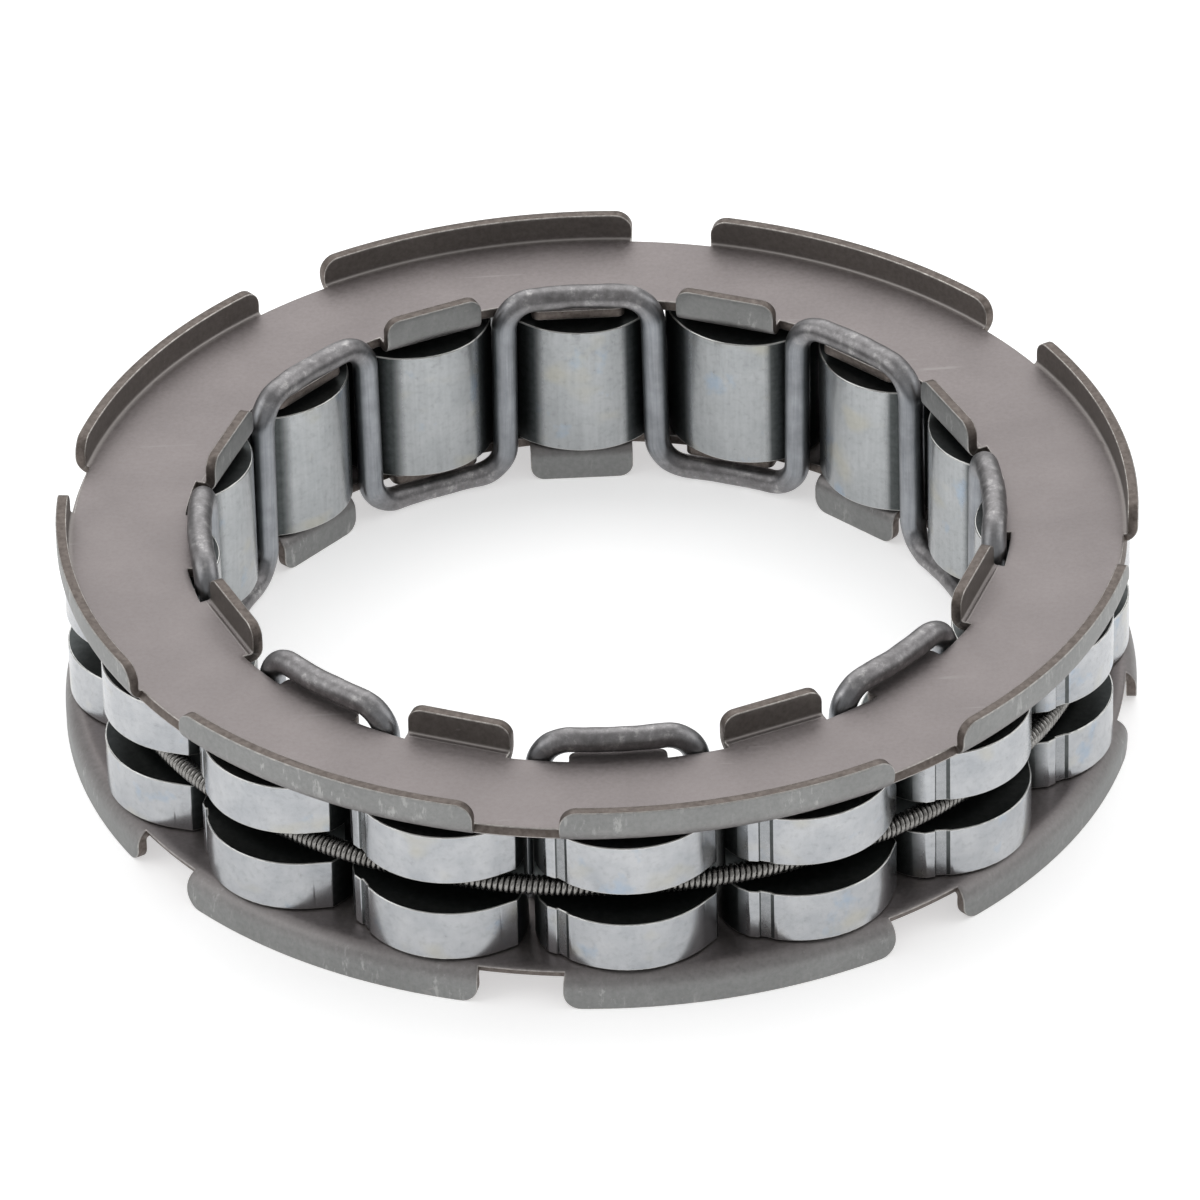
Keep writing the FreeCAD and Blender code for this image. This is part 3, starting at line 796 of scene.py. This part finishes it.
def mix(tree, factor, first, second, blend="MIX"):
    """Colour mix; each input is a socket, a number or a colour."""
    node = add(tree, "ShaderNodeMix", data_type="RGBA", blend_type=blend)
    for number, value in ((0, factor), (6, first), (7, second)):
        socket = node.inputs[number]
        if isinstance(value, bpy.types.NodeSocket):
            tree.links.new(value, socket)
        elif number == 0:
            socket.default_value = value
        elif isinstance(value, (int, float)):
            socket.default_value = (value, value, value, 1.0)
        else:
            socket.default_value = (*value, 1.0)
    return node.outputs[2]


def attribute(tree, name):
    """Value of a mesh attribute."""
    return add(tree, "ShaderNodeAttribute", attribute_name=name).outputs["Fac"]


def on_map(tree, name, stretch=(1, 1, 1)):
    """Coordinates of a mesh's own UV map."""
    source = add(tree, "ShaderNodeUVMap", uv_map=name)
    mapping = add(tree, "ShaderNodeMapping", {"Scale": stretch})
    tree.links.new(source.outputs["UV"], mapping.inputs["Vector"])
    return mapping.outputs["Vector"]


def times(tree, *factors):
    """Product of sockets or numbers."""
    product = factors[0]
    for factor in factors[1:]:
        node = add(tree, "ShaderNodeMath", operation="MULTIPLY")
        for socket, value in zip(node.inputs, (product, factor)):
            if isinstance(value, bpy.types.NodeSocket):
                tree.links.new(value, socket)
            else:
                socket.default_value = value
        product = node.outputs[0]
    return product


def bump(tree, shader, height, strength, distance):
    """Fine relief; its depth is in millimetres."""
    node = add(tree, "ShaderNodeBump", {"Strength": strength, "Distance": distance * MM})
    tree.links.new(height, node.inputs["Height"])
    tree.links.new(node.outputs["Normal"], shader.inputs["Normal"])


def plate_steel():
    """Tumbled sheet steel: matt warm grey with a fine grain, sheared edges and faint scuffs,
    painted shade on the tabs' inner faces and painted highlights on the burrs and in the creases.
    """
    material, tree, shader = new_material("plate_steel_look")
    shader.inputs["Metallic"].default_value = 0.9
    where = place(tree)
    grain = noise(tree, where, 3.0, 4.0, 0.65)
    cloud = noise(tree, where, 0.16, 3.0)
    cut_value = attribute(tree, "cut")
    lip = attribute(tree, "lip")
    flat = tones(tree, grain, PLATE_FLAT, 0.32, 0.68)
    outer = tones(tree, grain, PLATE_OUTER_LIP, 0.32, 0.68)
    cove = tones(tree, grain, PLATE_INNER_LIP_SHADED, 0.32, 0.68)
    colour = mix(tree, lip, flat, outer)
    # Painted shade: the tabs' inner faces take the darker tone
    colour = mix(tree, attribute(tree, "cove"), colour, cove)
    colour = mix(tree, 1.0, colour, ramp(tree, cloud, [(0.3, 0.92), (0.7, 1.06)]), "MULTIPLY")

    scuff_cells = noise(tree, place(tree, (1, 1, 0.3)), 1.7, 5.0, 0.75)
    patches = noise(tree, where, 0.2, 2.0)
    scuffs = times(tree, ramp(tree, scuff_cells, [(0.56, 0.0), (0.64, 1.0)]), lip,
                   ramp(tree, patches, [(0.46, 0.1), (0.6, 0.7)]))
    colour = mix(tree, scuffs, colour, PLATE_SCUFF)
    scratch_lines = noise(tree, place(tree, (0.05, 1, 1)), 2.2, 2.0, 0.5)
    scratches = times(tree, ramp(tree, scratch_lines, [(0.68, 0.0), (0.7, 1.0)]),
                      ramp(tree, patches, [(0.54, 0.0), (0.66, 0.4)]))
    colour = mix(tree, scratches, colour, PLATE_SCRATCH)

    shear = noise(tree, where, 2.4, 3.0, 0.7)
    sheared = tones(tree, shear, PLATE_SHEARED, 0.3, 0.7)
    colour = mix(tree, ramp(tree, cut_value, [(0.7, 0.0), (0.8, 1.0)]), colour, sheared)
    # The real burr gets a painted glint, faint at the lower brink's grade and full at the upper
    # brink's
    brinks = [(0.2, 0.0), (0.24, 0.6), (0.4, 0.6), (0.45, 1.0), (0.55, 1.0), (0.6, 0.0)]
    ragged = noise(tree, where, 1.8, 4.0, 0.85)
    burr_glint = times(tree, ramp(tree, cut_value, brinks),
                 ramp(tree, ragged, [(0.42, 0.3), (0.58, 1.0)]))
    colour = mix(tree, burr_glint, colour, PLATE_BURR_GLINT)
    # Painted highlight in the bends' corners and along the crease
    colour = mix(tree, times(tree, attribute(tree, "crease"), 0.5), colour, PLATE_CREASE_HIGHLIGHT)
    tree.links.new(colour, shader.inputs["Base Color"])
    rough = ramp(tree, grain, [(0.3, 0.45), (0.7, 0.58)])
    rough = mix(tree, burr_glint, rough, 0.3)
    tree.links.new(mix(tree, scuffs, rough, 0.36), shader.inputs["Roughness"])
    bump(tree, shader, grain, 0.45, 0.02)
    return material


def wire_steel():
    """Drawn spring wire: bluish grey with fine lines along its length and bending marks."""
    material, tree, shader = new_material("wire_steel_look")
    shader.inputs["Metallic"].default_value = 1.0
    lines = noise(tree, on_map(tree, "route", (0.1, 12.0, 1)), 2.2, 4.0, 0.6)
    blotch = noise(tree, place(tree), 0.6, 4.0, 0.6)
    marks = noise(tree, place(tree), 1.3, 4.0, 0.75)
    crest = attribute(tree, "crest")
    drawn = tones(tree, lines, WIRE_DRAWN, 0.3, 0.7)
    bent_wire = tones(tree, marks, WIRE_BENT, 0.35, 0.65)
    base = mix(tree, crest, drawn, bent_wire)
    base = mix(tree, 1.0, base, ramp(tree, blotch, [(0.32, 0.82), (0.66, 1.12)]), "MULTIPLY")
    scuffed = times(tree, ramp(tree, marks, [(0.55, 0.0), (0.66, 1.0)]), crest,
                    ramp(tree, blotch, [(0.42, 0.1), (0.58, 0.8)]))
    tree.links.new(mix(tree, scuffed, base, WIRE_SCUFF), shader.inputs["Base Color"])
    rough = ramp(tree, lines, [(0.3, 0.27), (0.7, 0.38)])
    tree.links.new(mix(tree, crest, rough, 0.43), shader.inputs["Roughness"])
    bump(tree, shader, lines, 0.12, 0.01)
    return material


def spring_steel():
    """Fine spring wire: warm grey, shiny, a little darker here and there."""
    material, tree, shader = new_material("spring_steel_look")
    shader.inputs["Metallic"].default_value = 1.0
    cloud = noise(tree, place(tree), 1.3, 3.0, 0.7)
    fine = noise(tree, place(tree), 9.0, 2.0)
    base = tones(tree, cloud, SPRING_WIRE, 0.3, 0.7)
    tree.links.new(base, shader.inputs["Base Color"])
    tree.links.new(ramp(tree, fine, [(0.3, 0.22), (0.7, 0.34)]), shader.inputs["Roughness"])
    return material


def sprag_steel():
    """Hardened steel, bright with faint temper tints where ground, black as painted shade
    elsewhere, with a darker painted shade on the inner cams and painted highlights on the rims.
    """
    material, tree, shader = new_material("sprag_steel_look")
    shader.inputs["Metallic"].default_value = 1.0
    where = on_map(tree, "around")
    inner = attribute(tree, "inner")
    cloud = noise(tree, where, 0.36, 4.0, 0.6)
    mottle = noise(tree, where, 2.0, 5.0, 0.7)
    streak = noise(tree, on_map(tree, "around", (1, 0.05, 1)), 3.4, 4.0, 0.65)
    stain = noise(tree, on_map(tree, "around", (1, 0.8, 1)), 0.3, 4.0, 0.6)
    straw = noise(tree, on_map(tree, "around", (0.9, 1.2, 1)), 0.24, 2.0, 0.5)
    bright = tones(tree, cloud, SPRAG_GROUND, 0.28, 0.72)
    # Painted shade: the inner cams below the slot take the darker tone
    shaded_inner = tones(tree, cloud, SPRAG_INNER_SHADED, 0.28, 0.72)
    bright = mix(tree, inner, bright, shaded_inner)
    lines = mix(tree, inner, 1.0, ramp(tree, streak, [(0.3, 0.92), (0.62, 1.02)]))
    bright = mix(tree, 1.0, bright, lines, "MULTIPLY")
    bright = mix(tree, 1.0, bright, ramp(tree, mottle, [(0.26, 0.84), (0.5, 1.0)]), "MULTIPLY")
    blue = ramp(tree, stain, [(0.6, 0.0), (0.7, 0.5)])
    yellow = ramp(tree, straw, [(0.58, 0.0), (0.7, 0.4)])
    bright = mix(tree, blue, bright, TEMPER_BLUE)
    bright = mix(tree, yellow, bright, TEMPER_STRAW)
    # Painted shade: faces that are not ground turn black
    black = tones(tree, mottle, SPRAG_PAINTED_SHADE, 0.3, 0.7)
    ground_and_shade = times(tree, attribute(tree, "ground_and_shade"), attribute(tree, "wall"))
    colour = mix(tree, ground_and_shade, black, bright)
    # Painted highlight on the rounded rims
    rim = times(tree, attribute(tree, "rim"), 0.75)
    tree.links.new(mix(tree, rim, colour, SPRAG_RIM_HIGHLIGHT), shader.inputs["Base Color"])
    polish = ramp(tree, mottle, [(0.3, 0.28), (0.7, 0.18)])
    tree.links.new(mix(tree, ground_and_shade, 0.42, polish), shader.inputs["Roughness"])
    bump(tree, shader, cloud, 0.1, 0.03)
    return material


MATERIALS = {
    "plate_steel": plate_steel(),
    "wire_steel": wire_steel(),
    "spring_steel": spring_steel(),
    "sprag_steel": sprag_steel(),
}

# Side plates

for name, flip in (("upper_side_plate", 0), ("lower_side_plate", math.radians(180))):
    bm = pressing()
    turned = Matrix.Rotation(PLATE_TURN, 4, "Z") @ Matrix.Rotation(flip, 4, "X")
    bmesh.ops.transform(bm, matrix=turned, verts=bm.verts)
    plate = finished(name + "_pressing", bm, MATERIALS["plate_steel"], PLATE_SHARP_ANGLE)
    weigh_normals(plate)
    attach(plate, "cage")
    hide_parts(name)

# Wire and spring

wire_tube = tube(bmesh.new(), wire_route(), WIRE_RADIUS, WIRE_SIDES, dent=WIRE_DENT)
wire = finished("wire_bent", wire_tube, MATERIALS["wire_steel"])
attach(wire, "cage")
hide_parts("retainer_wire")

spring_tube = tube(bmesh.new(), spring_route(), SPRING_STRAND_RADIUS, SPRING_SIDES, False)
spring = finished("spring_coils", spring_tube, MATERIALS["spring_steel"], SPRING_SHARP_ANGLE)
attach(spring, "cage")
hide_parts("garter_spring")

# Sprags

for number in range(SPRAG_COUNT):
    label = "sprag_%02d" % (number + 1)
    azimuth = number * SPRAG_STEP
    bm = sprag_mesh(number)
    turn = Matrix.Rotation(math.radians(azimuth - 90), 4, "Z")
    shift = Matrix.Translation(ring_point(PIVOT_RADIUS, azimuth, 0))
    bmesh.ops.transform(bm, matrix=shift @ turn, verts=bm.verts)
    piece = finished(label + "_cam", bm, MATERIALS["sprag_steel"])
    weigh_normals(piece)
    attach(piece, label)
    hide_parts(label)

# Floor and light; their sizes and distances are in metres

FLOOR_SIZE = 6.0
FLOOR_TONE = 0.9
FLOOR_GLOW = 0.48
FLOOR_ROUGHNESS = 0.6
SKY_STRENGTH = 0.5
# Name, azimuth and elevation in degrees, distance, width and power in watts
SOFTBOXES = [
    ("back_light", 180.0, 50.0, 0.6, 0.7, 1.9),
    ("left_light", -85.0, 35.0, 0.8, 0.6, 1.4),
    ("right_light", 95.0, 35.0, 0.8, 0.6, 1.1),
]

bpy.ops.mesh.primitive_plane_add(size=FLOOR_SIZE, location=(0, 0, cad_box[0].z))
floor = bpy.context.object
floor.name = "floor"
material, tree, shader = new_material("floor_white")
shader.inputs["Base Color"].default_value = (FLOOR_TONE, FLOOR_TONE, FLOOR_TONE, 1.0)
shader.inputs["Emission Color"].default_value = (1.0, 1.0, 1.0, 1.0)
shader.inputs["Emission Strength"].default_value = FLOOR_GLOW
shader.inputs["Roughness"].default_value = FLOOR_ROUGHNESS
floor.data.materials.append(material)

world = bpy.data.worlds.new("studio")
world.use_nodes = True
background = world.node_tree.nodes["Background"]
background.inputs["Color"].default_value = (1.0, 1.0, 1.0, 1.0)
background.inputs["Strength"].default_value = SKY_STRENGTH
bpy.context.scene.world = world

for name, azimuth, elevation, distance, width, power in SOFTBOXES:
    light = bpy.data.lights.new(name, "AREA")
    light.size = width
    light.energy = power
    lamp = bpy.data.objects.new(name, light)
    turn, rise = math.radians(azimuth), math.radians(elevation)
    level = math.cos(rise)
    away = Vector((math.sin(turn) * level, -math.cos(turn) * level, math.sin(rise)))
    lamp.location = away * distance
    lamp.rotation_mode = "QUATERNION"
    lamp.rotation_quaternion = away.to_track_quat("Z", "Y")
    bpy.context.scene.collection.objects.link(lamp)

# Camera; angles in degrees, distances and the lens in millimetres

CAMERA_AZIMUTH = -2.11
CAMERA_ELEVATION = 34.34
CAMERA_ROLL = -1.38
CAMERA_DISTANCE = 740.0
CAMERA_TARGET = (0.06, 0.0, -0.355)
LENS = 321.0
SENSOR = 36.0

rise, roll = math.radians(CAMERA_ELEVATION), math.radians(CAMERA_ROLL)
right = Vector((1, 0, 0))
up = Vector((0, math.sin(rise), math.cos(rise)))
ahead = Vector((0, math.cos(rise), -math.sin(rise)))
tilted_right = right * math.cos(roll) + up * math.sin(roll)
tilted_up = up * math.cos(roll) - right * math.sin(roll)
spin = Matrix.Rotation(math.radians(CAMERA_AZIMUTH), 3, "Z")
lens = bpy.data.cameras.new("camera")
lens.lens = LENS
lens.sensor_width = SENSOR
camera = bpy.data.objects.new("camera", lens)
axes = Matrix((tilted_right, tilted_up, -ahead)).transposed()
place_at = Vector(CAMERA_TARGET) - ahead * CAMERA_DISTANCE
camera.matrix_world = Matrix.Translation((spin @ place_at) * MM) @ (spin @ axes).to_4x4()
bpy.context.scene.collection.objects.link(camera)
bpy.context.scene.camera = camera
bpy.context.scene.view_settings.view_transform = "Standard"
